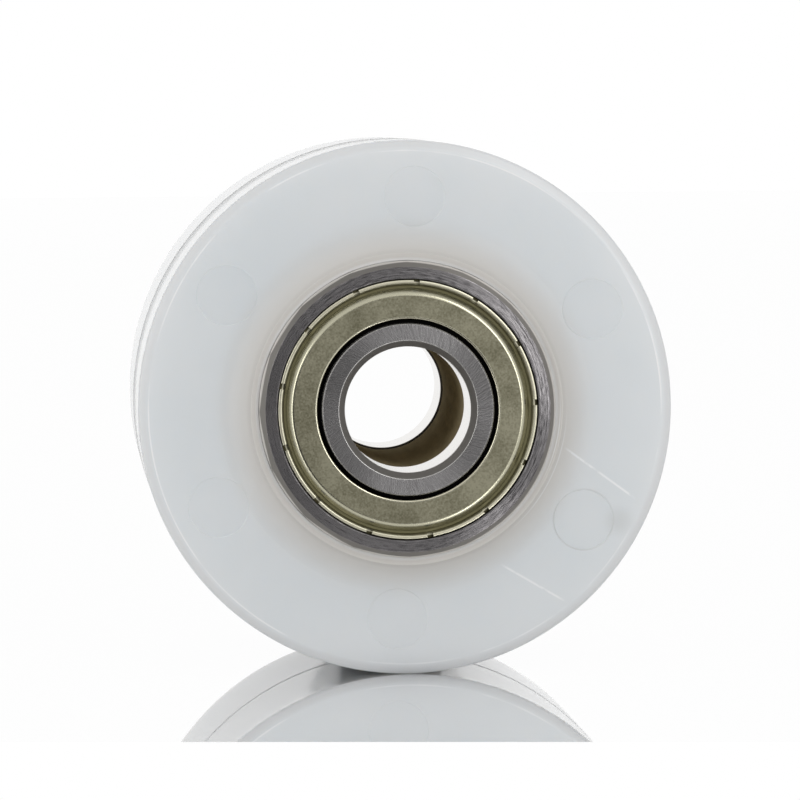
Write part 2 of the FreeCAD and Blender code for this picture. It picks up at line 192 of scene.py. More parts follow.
class FinishColours(bpy.types.PropertyGroup):
    """Colours of the surfaces."""
    nylon: colour("Nylon", "Natural nylon", "E5E7E8")
    nylon_cool: colour("Nylon cloud", "Cooler cloud in the natural nylon", "DADFE2")
    # Painted shade: the nylon towards the hub, darker and warmer.
    nylon_hub_shade: colour("Nylon by the hub", "Nylon where the steel shows through it", "D9D4CD")
    # Painted shade on the sloped edges of the faces.
    nylon_edge_shade: colour("Nylon edge", "Nylon on the sloped edges of the faces", "D8D9DA")
    # Real scratches, and also painted highlights: a light line at each sloped edge, arcs by the front lip,
    # and light on the lip's shaded inner edge.
    nylon_scuff_and_painted_light: colour("Nylon scuff", "Stress-whitened scratches in the nylon", "F4F5F6")
    # Real stain, and also painted shade round the lip, on the tread beside the ridge and along the parting
    # ridge.
    nylon_dirt_and_shade: colour("Nylon dirt", "Handling dirt on the nylon", "A8A6A1")
    nylon_burr: colour("Nylon burr", "Nylon shaved over the outer ring's edge", "D0CDC8")
    ground_steel: colour("Ground steel", "Outer ring, ground round", "8E8B8C")
    ground_shade: colour("Grinding lines", "Darker lines that the grinding leaves", "4A4849")
    land_steel: colour("Land steel", "Inner ring, ground across", "969494")
    land_shade: colour("Land lines", "Darker lines across the inner ring", "686666")
    # Hardened chamfers, darkened further as a painted dark reflection.
    hard_steel_dark_reflection: colour("Hardened steel", "Chamfers, left as hardened", "7E7B77")
    # Painted highlight: light lines on two edges of the inner ring.
    edge_highlight_steel: colour("Steel edge", "Ground edges of the inner ring that catch the light", "B2B0AE")
    bore_steel: colour("Bore steel", "Bore, finely ground", "E4E1DC")
    # Painted shade, near black, in the narrow gaps between rings and shields, along with some grease.
    gap_shade_and_grease: colour("Old grease", "Grease in the narrow gaps", "0B0A09")
    zinc_yellow: colour("Yellow zinc", "Zinc plate, yellow passivated", "8C8976")
    zinc_olive: colour("Olive zinc", "Greener patches of the passivated zinc", "686553")
    # Painted highlight on the shield's rolled inner edge and rim crest.
    zinc_edge_highlight: colour("Bright zinc", "Rolled edges of the shield, burnished by the press", "CECAB4")
    zinc_notch: colour("Zinc notch", "Bottom of a notch, which the light hardly reaches", "4E4A36")
    # Painted highlight on the shield's rolled bead.
    zinc_bead_highlight: colour("Zinc bead", "Rolled step between the shield's web and channel", "B2AF9A")
    # Painted shade in the shield's channel.
    zinc_shade: colour("Zinc shade", "Dirt in the shield's channel", "6E6A50")
    spacer_brown: colour("Spacer brown", "Oil-browned steel tube", "C6B896")
    spacer_dark: colour("Spacer shade", "Darker patches of the browned tube", "A5987B")
    ball_steel: colour("Ball steel", "Polished chrome steel", "D2D3D4")
    cage_steel: colour("Cage steel", "Bright pressed sheet", "A9A7A3")
    floor: colour("Floor", "Pale gloss floor", "FFFFFF")


class StudioSettings(bpy.types.PropertyGroup):
    """Light and camera of the studio."""
    lens: FloatProperty(name="Lens", description="Focal length in millimetres on a 36 mm sensor",
                        default=215.8, min=1.0, unit="CAMERA")
    left: FloatProperty(name="Left softbox", description="Power of the softbox at the left, in watts",
                        default=1.6, min=0.0, unit="POWER")
    right: FloatProperty(name="Right softbox", description="Power of the softbox at the right, in watts",
                         default=1.75, min=0.0, unit="POWER")
    sky: FloatProperty(name="Room light", description="Strength of the even light from all round",
                       default=0.57, min=0.0)
    card: FloatProperty(name="Dark card", description="Brightness of the dark card behind the camera",
                        default=0.03, min=0.0)


# Nodes


def add_node(tree, kind, inputs=None, **settings):
    """Add a node with its settings; an input takes a constant, an output socket or a list of them."""
    node = tree.nodes.new(kind)
    for setting, value in settings.items():
        setattr(node, setting, value)
    for socket, value in (inputs or {}).items():
        for source in value if isinstance(value, list) else [value]:
            if isinstance(source, bpy.types.NodeSocket):
                tree.links.new(source, node.inputs[socket])
            else:
                node.inputs[socket].default_value = source
    return node


def new_tree(name, sizes):
    """Geometry tree with one geometry in and out and the named sizes as inputs."""
    tree = bpy.data.node_groups.new(name, "GeometryNodeTree")
    tree.interface.new_socket("Geometry", in_out="INPUT", socket_type="NodeSocketGeometry")
    for size, kind in sizes.items():
        tree.interface.new_socket(size, in_out="INPUT", socket_type="NodeSocket" + kind)
    tree.interface.new_socket("Geometry", in_out="OUTPUT", socket_type="NodeSocketGeometry")
    return tree, add_node(tree, "NodeGroupInput").outputs


def end_tree(tree, pieces, material):
    """Close a tree: realize, weld the seams, set the material and hand the geometry out."""
    joined = add_node(tree, "GeometryNodeJoinGeometry", {"Geometry": pieces})
    realized = add_node(tree, "GeometryNodeRealizeInstances", {"Geometry": joined.outputs[0]})
    welded = add_node(tree, "GeometryNodeMergeByDistance",
                      {"Geometry": realized.outputs[0], "Distance": WELD})
    finished = add_node(tree, "GeometryNodeSetMaterial",
                        {"Geometry": welded.outputs[0], "Material": material})
    add_node(tree, "NodeGroupOutput", {"Geometry": finished.outputs[0]})
    return tree


def turned_section(tree, outline, segments):
    """Nodes that turn a flat outline, radius along X and level along Y, about the axle."""
    path = add_node(tree, "GeometryNodeCurvePrimitiveCircle",
                    {"Resolution": segments, "Radius": SWEEP_RADIUS})
    profile = add_node(tree, "GeometryNodeMeshToCurve", {"Mesh": outline})
    shifted = add_node(tree, "GeometryNodeTransform",
                       {"Geometry": profile.outputs[0], "Translation": (-SWEEP_RADIUS, 0, 0)})
    swept = add_node(tree, "GeometryNodeCurveToMesh",
                     {"Curve": path.outputs[0], "Profile Curve": shifted.outputs[0]})
    upright = add_node(tree, "GeometryNodeTransform",
                       {"Geometry": swept.outputs[0], "Rotation": (math.pi / 2, 0, 0)})
    return upright.outputs[0]


def turned_tree():
    """Tree for a piece that is turned all round."""
    tree, given = new_tree("Turned piece", {"Segments": "Int", "Material": "Material"})
    section = turned_section(tree, given["Geometry"], given["Segments"])
    return end_tree(tree, [section], given["Material"])


def marked_wheel_tree():
    """Tree for the wheel: the turned body with a ring of pin marks sunk into its front face."""
    tree, given = new_tree("Marked wheel", {
        "Segments": "Int", "Mark Count": "Int", "Mark Circle": "Float", "Mark Mouth": "Float",
        "Mark Floor": "Float", "Mark Height": "Float", "Mark Level": "Float", "Mark Turn": "Rotation",
        "Material": "Material"})
    section = turned_section(tree, given["Geometry"], given["Segments"])
    places = add_node(tree, "GeometryNodeMeshCircle",
                      {"Vertices": given["Mark Count"], "Radius": given["Mark Circle"]})
    pin = add_node(tree, "GeometryNodeMeshCone", {
        "Vertices": MARK_SEGMENTS, "Radius Top": given["Mark Mouth"],
        "Radius Bottom": given["Mark Floor"], "Depth": given["Mark Height"]}, fill_type="NGON")
    pins = add_node(tree, "GeometryNodeInstanceOnPoints",
                    {"Points": places.outputs[0], "Instance": pin.outputs[0]})
    level = add_node(tree, "ShaderNodeCombineXYZ", {"Z": given["Mark Level"]})
    turned = add_node(tree, "GeometryNodeTransform", {
        "Geometry": pins.outputs[0], "Translation": level.outputs[0], "Rotation": given["Mark Turn"]})
    upright = add_node(tree, "GeometryNodeTransform",
                       {"Geometry": turned.outputs[0], "Rotation": (math.pi / 2, 0, 0)})
    cutters = add_node(tree, "GeometryNodeRealizeInstances", {"Geometry": upright.outputs[0]})
    marked = add_node(tree, "GeometryNodeMeshBoolean",
                      {"Mesh 1": section, "Mesh 2": cutters.outputs[0]},
                      operation="DIFFERENCE", solver="MANIFOLD")
    return end_tree(tree, [marked.outputs[0]], given["Material"])


def notched_shield_tree():
    """Tree for a shield: one sector with its notch, repeated round the axle."""
    tree, given = new_tree("Notched shield", {"Notches": "Int", "Step": "Float", "Material": "Material"})
    places = add_node(tree, "GeometryNodeMeshLine", {"Count": given["Notches"], "Offset": (0, 0, 0)})
    index = add_node(tree, "GeometryNodeInputIndex")
    turn = add_node(tree, "ShaderNodeMath", {0: index.outputs[0], 1: given["Step"]}, operation="MULTIPLY")
    euler = add_node(tree, "ShaderNodeCombineXYZ", {"Y": turn.outputs[0]})
    copies = add_node(tree, "GeometryNodeInstanceOnPoints", {
        "Points": places.outputs[0], "Instance": given["Geometry"], "Rotation": euler.outputs[0]})
    return end_tree(tree, [copies.outputs[0]], given["Material"])


# Meshes


def rounded_outline(corners):
    """Points of a closed outline of corners (radius, level, round); long flats keep straight ends."""
    runs = []
    for index, (across, along, radius) in enumerate(corners):
        here = Vector((across, along))
        back = (Vector(corners[index - 1][:2]) - here).normalized()
        ahead = (Vector(corners[(index + 1) % len(corners)][:2]) - here).normalized()
        turn = math.pi - back.angle(ahead)
        if radius == 0 or turn < ARC_STEP / 10:
            runs.append([here])
            continue
        centre = here + (back + ahead).normalized() * (radius / math.cos(turn / 2))
        start = here + back * (radius * math.tan(turn / 2)) - centre
        side = math.copysign(1, back.cross(ahead))
        steps = max(2, math.ceil(turn / ARC_STEP))
        turns = [Matrix.Rotation(-side * turn * step / steps, 2) for step in range(steps + 1)]
        runs.append([centre + spin @ start for spin in turns])
    outline = []
    for run, following in zip(runs, runs[1:] + runs[:1]):
        flat = following[0] - run[-1]
        end = flat.normalized() * FLAT_END
        outline += run + ([run[-1] + end, following[0] - end] if flat.length > LONG_FLAT else [])
    return outline


def mirrored(upper, between=()):
    """Corners of an outline that is the same on both sides of the middle plane."""
    return [*upper, *between, *((across, -along, radius) for across, along, radius in reversed(upper))]


def arc_corners(centre, radius, start, end, steps):
    """Corners along an arc from one angle to another."""
    angles = [start + (end - start) * step / steps for step in range(steps + 1)]
    return [(centre[0] + radius * math.cos(a), centre[1] + radius * math.sin(a), 0) for a in angles]


def outline_mesh(name, points):
    """Mesh of edges along a closed outline."""
    mesh = bpy.data.meshes.new(name)
    edges = [(place - 1, place) for place in range(1, len(points))] + [(len(points) - 1, 0)]
    mesh.from_pydata([(point.x, point.y, 0) for point in points], edges, [])
    return mesh


def grown_piece(name, mesh, tree, sizes, placed=Matrix.Identity(4), reshape=None):
    """Piece that a tree makes from a mesh: plain, welded, closed, facing outwards and smooth."""
    piece = bpy.data.objects.new(name, mesh)
    modifier = piece.modifiers.new("Grow", "NODES")
    modifier.node_group = tree
    for socket in tree.interface.items_tree:
        if socket.name in sizes and socket.in_out == "INPUT":
            modifier[socket.identifier] = sizes[socket.name]
    bpy.context.scene.collection.objects.link(piece)
    grown = bpy.data.meshes.new_from_object(piece.evaluated_get(bpy.context.evaluated_depsgraph_get()))
    piece.modifiers.clear()
    shell = bmesh.new()
    shell.from_mesh(grown)
    bmesh.ops.remove_doubles(shell, verts=shell.verts, dist=WELD)
    bmesh.ops.recalc_face_normals(shell, faces=shell.faces)
    if reshape:
        reshape(shell)
    if not shell.faces or any(not edge.is_manifold for edge in shell.edges):
        raise RuntimeError(f"{name} is not a closed shell")
    shell.transform(placed)
    shell.to_mesh(grown)
    shell.free()
    grown.shade_smooth()
    grown.set_sharp_from_angle(angle=SHARP_ANGLE)
    grown.name = name
    piece.data = grown
    bpy.data.meshes.remove(mesh)
    return piece


def wheel_outline(nylon):
    """Outline of the wheel."""
    ridge = WHEEL_HIGH.x
    tread = ridge - nylon.ridge_height
    lip = WHEEL_HIGH.y
    face = lip - nylon.boss_height
    seat = RING_HIGH.x + nylon.seat_clearance
    floor = RING_LOW.y
    boss = seat + nylon.boss_wall
    flare = (nylon.boss_flare ** 2 + nylon.boss_height ** 2) / (2 * nylon.boss_height)
    slope = nylon.boss_height * (flare - nylon.boss_height) / nylon.boss_flare
    upper = [
        (seat - nylon.seat_shoulder, floor, 0.3 * MM),
        (seat, floor, 0.2 * MM),
        (seat, lip - LIP_BEVEL, 0),
        (seat, lip, 0.1 * MM),
        (boss, lip, 0.22 * MM),
        (boss + slope, face, 0.9 * flare),
        (tread - nylon.tread_draft - nylon.edge_width, face, 1.5 * MM),
        (tread - nylon.tread_draft, face - nylon.edge_drop, 0.5 * MM),
        (tread, nylon.ridge_width / 2, 0.1 * MM),
        (ridge, nylon.ridge_width / 4, 0.05 * MM),
    ]
    return rounded_outline(mirrored(upper))


def flatten_lip(shell, nylon):
    """Give the lip round each bearing the slight flats and ragged edge that pressing in leaves."""
    seat = RING_HIGH.x + nylon.seat_clearance
    side = 2 * math.pi / nylon.lip_sides
    draw = random.Random(LIP_SEED)
    for vertex in shell.verts:
        across = math.hypot(vertex.co.x, vertex.co.z)
        drop = WHEEL_HIGH.y - abs(vertex.co.y)
        if across > seat + LIP_REACH or drop > LIP_BEVEL:
            continue
        turn = math.atan2(vertex.co.z, vertex.co.x)
        corner = abs((turn / side) % 1 - 0.5) * 2
        share = (1 - drop / LIP_BEVEL) * (1 - max(0, across - seat) / LIP_REACH)
        grow = 1 + share * (nylon.lip_ripple * corner ** 2 + draw.uniform(0, LIP_RAGGED)) / across
        vertex.co.x *= grow
        vertex.co.z *= grow


def race(bearing, sign):
    """Corners of a ball race, from its upper mouth to its lower one; sign is 1 on the outer ring."""
    pitch = (RING_HIGH.x + BORE) / 2
    radius = bearing.race_conformity * bearing.ball_diameter / 2
    offset = radius - bearing.ball_diameter / 2 - bearing.race_clearance
    reach = pitch - INNER_RING_HIGH.x
    half = math.acos((reach + offset) / radius)
    centre = (pitch - sign * offset, 0)
    middle = 0 if sign > 0 else math.pi
    return arc_corners(centre, radius, middle + sign * half, middle - sign * half, RACE_STEPS)


def outer_ring_corners(bearing):
    """Outline of the outer ring about its own middle."""
    outside, half = RING_HIGH.x, RING_HALF
    seat = outside - bearing.outer_face
    groove = seat + bearing.groove_depth
    ledge = half - bearing.ledge_depth
    path = race(bearing, 1)
    upper = [
        (outside, half - bearing.ring_chamfer, 0.25 * MM),
        (outside - bearing.ring_chamfer, half - bearing.face_fall, 0.2 * MM),
        (seat + bearing.edge_break, half, 0.06 * MM),
        (seat, half - bearing.edge_break, 0.06 * MM),
        (seat, ledge + bearing.groove_height, 0),
        (groove, ledge + bearing.groove_height, 0),
        (groove, ledge, 0),
        (path[0][0], ledge, 0.1 * MM),
    ]
    return mirrored(upper, path)


def inner_ring_corners(bearing):
    """Outline of the inner ring about its own middle."""
    half = RING_HALF
    shoulder = INNER_RING_HIGH.x
    land = shoulder - bearing.land_step
    upper = [
        (BORE, half - bearing.bore_chamfer, 0.12 * MM),
        (BORE + bearing.bore_chamfer, half, 0.12 * MM),
        (land - bearing.edge_break, half, 0.1 * MM),
        (land, half - bearing.edge_break, 0.08 * MM),
        (land, half - bearing.land_depth, 0.06 * MM),
        (shoulder, half - bearing.land_depth, 0.06 * MM),
    ]
    return mirrored(upper, race(bearing, -1))


def shield_sector(bearing):
    """One sector of a shield with its notch in the middle; its outer side faces up along Y."""
    half = RING_HALF
    seat = RING_HIGH.x - bearing.outer_face
    shoulder = INNER_RING_HIGH.x
    web, channel = half - bearing.web_depth, half - bearing.channel_depth
    crest, ledge = half - bearing.rim_depth, half - bearing.ledge_depth
    rim, rim_foot = seat - bearing.shield_clearance, seat - bearing.rim_width
    channel_foot = rim_foot - bearing.channel_width
    web_edge = channel_foot - bearing.step_run
    hook = seat + bearing.groove_depth - bearing.shield_clearance
    hook_top = ledge + bearing.groove_height - bearing.shield_clearance
    lean = bearing.sheet / 2
    root = rim_foot + lean
    climb = (crest - channel) / (rim - bearing.rim_top - rim_foot)
    tab = (root, channel + lean * climb, 0)
    gap = (rim, channel, 0)
    corners = [
        (shoulder, web, 0.28 * MM),
        (web_edge, web, 0.8 * MM),
        (channel_foot, channel, 0.3 * MM),
        (rim_foot, channel, 0.1 * MM),
        tab,
        (rim - bearing.rim_top, crest, 0.3 * MM),
        (rim, crest, 0.3 * MM),
        gap,
        (rim, hook_top, 0),
        (hook, hook_top, 0.05 * MM),
        (hook, ledge, 0.05 * MM),
        (root, ledge, 0.05 * MM),
        (root, channel - bearing.sheet, 0.05 * MM),
        (channel_foot - lean, channel - bearing.sheet, 0.2 * MM),
        (web_edge - lean, web - bearing.sheet, 0.2 * MM),
        (shoulder, web - bearing.sheet, 0.05 * MM),
    ]
    points = rounded_outline(corners)
    first, last = (points.index(Vector(corner[:2])) for corner in (tab, gap))
    shell = bmesh.new()
    sector = math.pi / bearing.notch_count

    def column(share, sign):
        """Outline at a share of the way from the notch's edge to the sector's end."""
        turns = [math.asin(bearing.notch_width / 2 / p.x) * (1 - share) + sector * share for p in points]
        pinched = [share == 0 and place < first and p.x > channel_foot for place, p in enumerate(points)]
        lifts = [bearing.notch_pinch if raised else 0 for raised in pinched]
        return [shell.verts.new((p.x * math.cos(t), p.y + lift, sign * p.x * math.sin(t)))
                for p, t, lift in zip(points, turns, lifts)]

    notch_edges = []
    for sign in (1, -1):
        columns = [column(step / SECTOR_STEPS, sign) for step in range(SECTOR_STEPS + 1)]
        for near, far in zip(columns, columns[1:]):
            for place in range(len(points)):
                shell.faces.new((near[place - 1], near[place], far[place], far[place - 1]))
        turn = math.asin(bearing.notch_width / 2 / root)
        foot = shell.verts.new((root * math.cos(turn), channel, sign * root * math.sin(turn)))
        shell.faces.new(columns[0][first:last + 1] + [foot])
        notch_edges.append(columns[0][:first + 1] + [foot] + columns[0][last:])
    left, right = notch_edges
    for place in range(len(left)):
        shell.faces.new((left[place - 1], left[place], right[place], right[place - 1]))
    mesh = bpy.data.meshes.new("shield_sector")
    shell.to_mesh(mesh)
    shell.free()
    return mesh


# Materials

# How softly one zone of a material ends against the next
ZONE_SOFT = 0.05 * MM
# Scratches on the wheel's front face: both ends as X and Z, and the strength of each
SCRATCHES = [
    ((25.1 * MM, -6.6 * MM), (36.7 * MM, -15.2 * MM), 0.9),
    ((14.8 * MM, -25.2 * MM), (25.2 * MM, -31.4 * MM), 0.8),
]
SCRATCH_WIDTH = 0.24 * MM
# Painted highlight arcs beside the front lip: the radius of each, and the turns at which it starts and ends
LIP_HIGHLIGHT_ARCS = [(24.3 * MM, -0.42, 0.0), (25.45 * MM, -0.75, -0.14)]
LIP_HIGHLIGHT_WIDTH = 0.12 * MM
# Stain beside a pin mark: X and Z of its middle, and how far it spreads
STAIN_PLACE = (33.9 * MM, -18.7 * MM)
STAIN_REACH = 3.2 * MM
# Grinding lines: repeats per metre of radius, repeats per radius of turn, and two twists that cross
ROUND_LINES = (1 / (0.2 * MM), 11.0, (0.0, 5.0))
CROSS_LINES = (1 / (2.4 * MM), 90.0, (16.0, 34.0))
BURR_ROUGHNESS = 0.7


def new_material(name):
    """Empty node material with its tree and the place on the piece, in metres, as a socket."""
    material = bpy.data.materials.new(name)
    material.use_nodes = True
    tree = material.node_tree
    tree.nodes.clear()
    return material, tree, add_node(tree, "ShaderNodeTexCoord").outputs["Object"]


def end_material(tree, surface):
    """Send a surface shader to the material's output."""
    add_node(tree, "ShaderNodeOutputMaterial", {"Surface": surface.outputs[0]})


def radius_of(tree, place):
    """Distance of a place from the axle."""
    flat = add_node(tree, "ShaderNodeVectorMath", {0: place, 1: (1, 0, 1)}, operation="MULTIPLY")
    return add_node(tree, "ShaderNodeVectorMath", {0: flat.outputs[0]}, operation="LENGTH").outputs["Value"]


def turn_of(tree, place):
    """Angle of a place round the axle, from X towards Z."""
    axes = add_node(tree, "ShaderNodeSeparateXYZ", {0: place}).outputs
    return add_node(tree, "ShaderNodeMath", {0: axes["Z"], 1: axes["X"]}, operation="ARCTAN2").outputs[0]


def product(tree, masks):
    """All of some masks at once."""
    share = masks[0]
    for mask in masks[1:]:
        share = add_node(tree, "ShaderNodeMath", {0: share, 1: mask}, operation="MULTIPLY").outputs[0]
    return share


def ramps(tree, values):
    """All of some values at once, each with the bounds at which it counts for nothing and in full."""
    return product(tree, [add_node(tree, "ShaderNodeMapRange", {
        "Value": value, "From Min": none, "From Max": full}).outputs[0] for value, none, full in values])


def band_mask(tree, value, low, high, soft):
    """1 where a value lies between two bounds, with soft ends, and 0 elsewhere."""
    return ramps(tree, [(value, low - soft / 2, low + soft / 2), (value, high + soft / 2, high - soft / 2)])


def scratch_mask(tree, place, start, end):
    """1 along a broken thin scratch on the front face between two points (X, Z), 0 elsewhere."""
    run = Vector(end) - Vector(start)
    moved = add_node(tree, "ShaderNodeMapping", {
        "Vector": place, "Location": (start[0], 0, start[1]),
        "Rotation": (0, -math.atan2(run.y, run.x), 0)}, vector_type="TEXTURE")
    axes = add_node(tree, "ShaderNodeSeparateXYZ", {0: moved.outputs[0]}).outputs
    across = add_node(tree, "ShaderNodeMath", {0: axes["Z"]}, operation="ABSOLUTE")
    middle = add_node(tree, "ShaderNodeMath", {0: axes["X"], 1: run.length / 2}, operation="SUBTRACT")
    along = add_node(tree, "ShaderNodeMath", {0: middle.outputs[0]}, operation="ABSOLUTE")
    breaks = add_node(tree, "ShaderNodeTexNoise", {
        "Vector": place, "Scale": 1 / (1.6 * MM), "Detail": 2.0})
    return ramps(tree, [
        (across.outputs[0], SCRATCH_WIDTH, 0.3 * SCRATCH_WIDTH),
        (along.outputs[0], 0.5 * run.length, 0.38 * run.length),
        (breaks.outputs[0], 0.3, 0.45),
        (axes["Y"], -0.6 * WHEEL_HIGH.y, -0.7 * WHEEL_HIGH.y),
    ])


def moulded_nylon(tint, nylon):
    """Natural nylon, injection moulded."""
    # A milky, slightly cloudy plastic with a satin sheen that light soaks into, polished on the tread by
    # rolling;
    # painted shade warms and dims it towards the hub, where the steel sits behind the thin wall.
    material, tree, place = new_material("nylon, natural, injection moulded")
    radius, turn = radius_of(tree, place), turn_of(tree, place)
    axes = add_node(tree, "ShaderNodeSeparateXYZ", {0: place}).outputs
    level = add_node(tree, "ShaderNodeMath", {0: axes["Y"]}, operation="ABSOLUTE").outputs[0]
    hub = RING_HIGH.x
    front_face = nylon.boss_height - WHEEL_HIGH.y
    edge = WHEEL_HIGH.x - nylon.ridge_height - nylon.tread_draft
    slope = edge - nylon.edge_width
    clouds, breaks = (add_node(tree, "ShaderNodeTexNoise", {
        "Vector": place, "Scale": 1 / width, "Detail": detail}).outputs[0]
        for width, detail in ((16 * MM, 2.0), (14 * MM, 3.0)))
    broken = ramps(tree, [(breaks, 0.42, 0.58)])
    hub_shade_ramp = add_node(tree, "ShaderNodeMapRange", {
        "Value": radius, "From Min": hub, "From Max": hub + 8 * MM,
        "To Min": 0.9, "To Max": 0.0}, interpolation_type="SMOOTHSTEP")
    # The pin mark with a darker, broken outline is the next one clockwise from the first, seen from the
    # front.
    pin_turn = nylon.mark_turn - 2 * math.pi / nylon.mark_count
    pin_out = nylon.mark_circle / 2
    pin_place = (pin_out * math.cos(pin_turn), front_face, pin_out * math.sin(pin_turn))
    stain_place = (STAIN_PLACE[0], front_face, STAIN_PLACE[1])
    from_pin, from_stain = (add_node(tree, "ShaderNodeVectorMath", {
        0: place, 1: middle}, operation="DISTANCE").outputs["Value"] for middle in (pin_place, stain_place))
    pin_radius = nylon.mark_diameter / 2
    pin_edge = band_mask(tree, from_pin, pin_radius - 0.1 * MM, pin_radius + 0.1 * MM, 0.2 * MM)
    stain = add_node(tree, "ShaderNodeMapRange", {
        "Value": from_stain, "From Min": 0.3 * MM, "From Max": STAIN_REACH,
        "To Min": 0.2, "To Max": 0.0}, interpolation_type="SMOOTHSTEP")
    before_ridge = add_node(tree, "ShaderNodeMath", {0: axes["Y"], 1: 0.0}, operation="LESS_THAN").outputs[0]
    on_tread = band_mask(tree, radius, edge - 0.1 * MM, 2 * edge, 0.1 * MM)
    # Painted shade on the tread's front half, growing towards the ridge on its upper part; none below, where
    # it stands.
    rolled = ramps(tree, [(axes["Y"], -16 * MM, 0.0), (axes["Z"], -20 * MM, -5 * MM)])
    tread_shade = product(tree, [rolled, on_tread, before_ridge])
    parting = band_mask(tree, level, -1.0, 0.2 * MM, 0.2 * MM)
    edge_highlight_line = band_mask(tree, radius, slope - 0.3 * MM, slope - 0.1 * MM, 0.15 * MM)
    lip_highlights = [product(tree, [
        band_mask(tree, radius, near, near + LIP_HIGHLIGHT_WIDTH, LIP_HIGHLIGHT_WIDTH),
        band_mask(tree, turn, start, end, 0.25),
        before_ridge]) for near, start, end in LIP_HIGHLIGHT_ARCS]
    # Each layer is a mask with the colour that it brings and how strongly.
    layers = [
        (clouds, tint.nylon_cool, 1.0),
        # Painted shade, warmer and darker towards the hub.
        (hub_shade_ramp.outputs[0], tint.nylon_hub_shade, 1.0),
        # Painted shade on the sloped edges of the faces.
        (band_mask(tree, radius, slope + 0.2 * MM, edge, 0.6 * MM), tint.nylon_edge_shade, 0.6),
        # Painted highlight: a broken light line where each face meets its sloped edge.
        (product(tree, [edge_highlight_line, broken]), tint.nylon_scuff_and_painted_light, 1.0),
        *((scratch_mask(tree, place, start, end), tint.nylon_scuff_and_painted_light, strength)
          for start, end, strength in SCRATCHES),
        # Painted shade round the lip by the hub.
        (band_mask(tree, radius, 0.0, hub + 1.6 * MM, 0.9 * MM), tint.nylon_dirt_and_shade, 0.25),
        # Partly painted light that lifts the shade in the lip's inner edge, partly whitening of the edge
        # where the bearing was pressed in.
        (band_mask(tree, radius, 0.0, hub + 0.5 * MM, 0.4 * MM), tint.nylon_scuff_and_painted_light, 0.55),
        (product(tree, [pin_edge, broken]), tint.nylon_dirt_and_shade, 0.35),
        # Painted highlights: light arcs beside the front lip.
        *((arc, tint.nylon_scuff_and_painted_light, 0.8) for arc in lip_highlights),
        (stain.outputs[0], tint.nylon_dirt_and_shade, 1.0),
        # Painted shade on the tread beside the ridge.
        (tread_shade, tint.nylon_dirt_and_shade, 0.3),
        # Painted shade along the parting ridge.
        (parting, tint.nylon_dirt_and_shade, 0.7),
    ]
    shade = tint.nylon
    for mask, tone, strength in layers:
        share = add_node(tree, "ShaderNodeMath", {0: mask, 1: strength}, operation="MULTIPLY")
        shade = add_node(tree, "ShaderNodeMix", {0: share.outputs[0], 6: shade, 7: tone},
                         data_type="RGBA").outputs[2]
    # The tool's fine texture is about 0.15 mm; it is drawn at 0.5 mm so that it shows.
    grain = add_node(tree, "ShaderNodeTexNoise", {"Vector": place, "Scale": 1 / (0.5 * MM), "Detail": 2.0})
    bump = add_node(tree, "ShaderNodeBump", {
        "Height": grain.outputs[0], "Strength": 0.05, "Distance": 0.1 * MM})
    # The satin is rougher by the hub, where pressing in dulled it, and on the painted shade beside and along
    # the ridge, and polished on the tread.
    sheen = add_node(tree, "ShaderNodeMapRange", {"Value": clouds, "To Min": 0.26, "To Max": 0.36})
    by_hub = band_mask(tree, radius, 0.0, hub + 6 * MM, 4 * MM)
    for mask, roughness in ((by_hub, 0.5), (on_tread, 0.1), (tread_shade, 0.4), (parting, 0.7)):
        sheen = add_node(tree, "ShaderNodeMix", {0: mask, 2: sheen.outputs[0], 3: roughness})
    # Little light soaks into the thin wall by the steel.
    soak = add_node(tree, "ShaderNodeMapRange", {
        "Value": radius, "From Min": hub + 1.5 * MM, "From Max": hub + 5 * MM,
        "To Min": 0.1, "To Max": 1.0})
    end_material(tree, add_node(tree, "ShaderNodeBsdfPrincipled", {
        "Base Color": shade, "Roughness": sheen.outputs[0], "IOR": 1.53,
        "Subsurface Weight": soak.outputs[0], "Subsurface Radius": (1.0, 0.95, 0.9),
        "Subsurface Scale": 10 * MM, "Normal": bump.outputs[0]}))
    return material


def round_the_axle(tree, place, radial, angular, twist=0.0):
    """Place for a pattern of streaks: repeats per metre of radius, and per radius of turn, with a twist."""
    radius = radius_of(tree, place)
    flat = add_node(tree, "ShaderNodeVectorMath", {0: place, 1: (1, 0, 1)}, operation="MULTIPLY")
    unit = add_node(tree, "ShaderNodeVectorMath", {0: flat.outputs[0]}, operation="NORMALIZE")
    lean = add_node(tree, "ShaderNodeMath", {0: radius, 1: twist}, operation="MULTIPLY")
    spun = add_node(tree, "ShaderNodeVectorRotate", {
        "Vector": unit.outputs[0], "Axis": (0, 1, 0), "Angle": lean.outputs[0]})
    spread = add_node(tree, "ShaderNodeVectorMath", {0: spun.outputs[0], 1: (angular, 0, angular)},
                      operation="MULTIPLY")
    out = add_node(tree, "ShaderNodeMath", {0: radius, 1: radial}, operation="MULTIPLY")
    lift = add_node(tree, "ShaderNodeCombineXYZ", {"Y": out.outputs[0]})
    return add_node(tree, "ShaderNodeVectorMath", {0: spread.outputs[0], 1: lift.outputs[0]}).outputs[0]


def zoned(tree, radius, shade, polish, zones):
    """Colour and roughness with other ones in bands (low, high, colour, roughness) of the radius."""
    for low, high, tone, roughness in zones:
        mask = band_mask(tree, radius, low, high, ZONE_SOFT)
        shade = add_node(tree, "ShaderNodeMix", {0: mask, 6: shade, 7: tone}, data_type="RGBA").outputs[2]
        polish = add_node(tree, "ShaderNodeMix", {0: mask, 2: polish, 3: roughness}).outputs[0]
    return shade, polish


